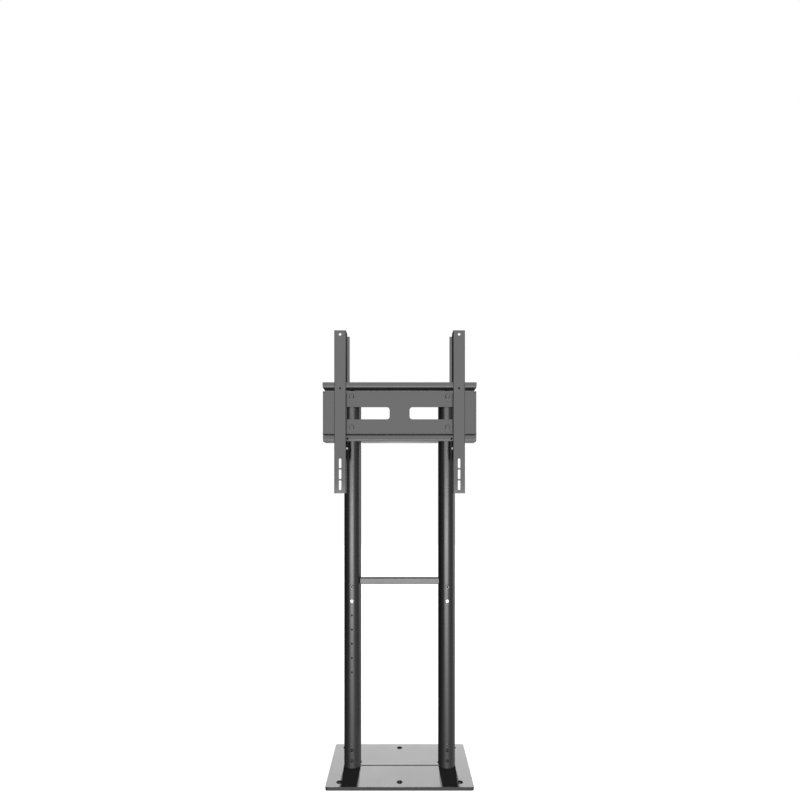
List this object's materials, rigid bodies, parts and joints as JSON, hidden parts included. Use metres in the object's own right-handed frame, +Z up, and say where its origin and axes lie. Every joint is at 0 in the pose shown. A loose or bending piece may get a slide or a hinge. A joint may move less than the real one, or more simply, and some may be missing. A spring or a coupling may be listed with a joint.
{
  "type": "tv stand with mount",
  "caption": "Bolt-down steel floor stand for a screen: flat base plate, twin round posts with a crossbar, slotted hook mount and hooked upright arms with sliding locks.",
  "frame": {"origin": "on the floor, under the middle of the base plate", "axes": "+Z up, +X to the right seen from the screen side, the screen side faces -Y"},
  "size_m": [0.538, 0.28, 1.53],
  "materials": {
    "coat": "satin black powder coat on steel",
    "screw": "black passivated steel screws",
    "plug": "matt black moulded",
    "bright": "bright zinc plated steel",
    "insert": "plain machined steel"
  },
  "bodies": {
    "stand": {"base_plate": "coat", "foot_tie_bar": "coat", "crossbar": "coat", "post_carrier": "coat", "hook_plate": "coat", "left_foot_spigot": "coat", "left_post": "coat", "right_foot_spigot": "coat", "right_post": "coat", "left_lower_foot_screw": "screw", "left_upper_foot_screw": "screw", "left_outer_side_screw": "screw", "left_inner_side_screw": "screw", "left_row_screw": "screw", "left_crossbar_screw": "screw", "left_upper_mount_bolt": "screw", "left_lower_mount_bolt": "screw", "right_lower_foot_screw": "screw", "right_upper_foot_screw": "screw", "right_outer_side_screw": "screw", "right_inner_side_screw": "screw", "right_row_screw": "screw", "right_crossbar_screw": "screw", "right_upper_mount_bolt": "screw", "right_lower_mount_bolt": "screw", "left_post_plug": "plug", "left_access_plug": "plug", "left_upper_mount_saddle": "plug", "left_lower_mount_saddle": "plug", "right_post_plug": "plug", "right_access_plug": "plug", "right_upper_mount_saddle": "plug", "right_lower_mount_saddle": "plug", "left_foot_grub_screw": "bright", "left_row_cap": "bright", "left_upper_mount_nut": "bright", "left_lower_mount_nut": "bright", "right_foot_grub_screw": "bright", "right_row_cap": "bright", "right_upper_mount_nut": "bright", "right_lower_mount_nut": "bright", "left_crossbar_insert": "insert", "right_crossbar_insert": "insert"},
    "left_arm": {"left_tv_arm": "coat", "left_lock_bolt": "bright", "left_lock_nut": "bright"},
    "left_lock": {"left_lock_clip": "coat"},
    "right_arm": {"right_tv_arm": "coat", "right_lock_bolt": "bright", "right_lock_nut": "bright"},
    "right_lock": {"right_lock_clip": "coat"}
  },
  "joints": [
    {"name": "left_arm_slide", "type": "slide", "parent": "stand", "child": "left_arm", "axis": [1, 0, 0], "range_m": [-0.03, 0.15]},
    {"name": "left_lock_slide", "type": "slide", "parent": "left_arm", "child": "left_lock", "axis": [0, 0, 1], "range_m": [-0.016, 0]},
    {"name": "right_arm_slide", "type": "slide", "parent": "stand", "child": "right_arm", "axis": [1, 0, 0], "range_m": [-0.15, 0.03]},
    {"name": "right_lock_slide", "type": "slide", "parent": "right_arm", "child": "right_lock", "axis": [0, 0, 1], "range_m": [-0.016, 0]}
  ]
}
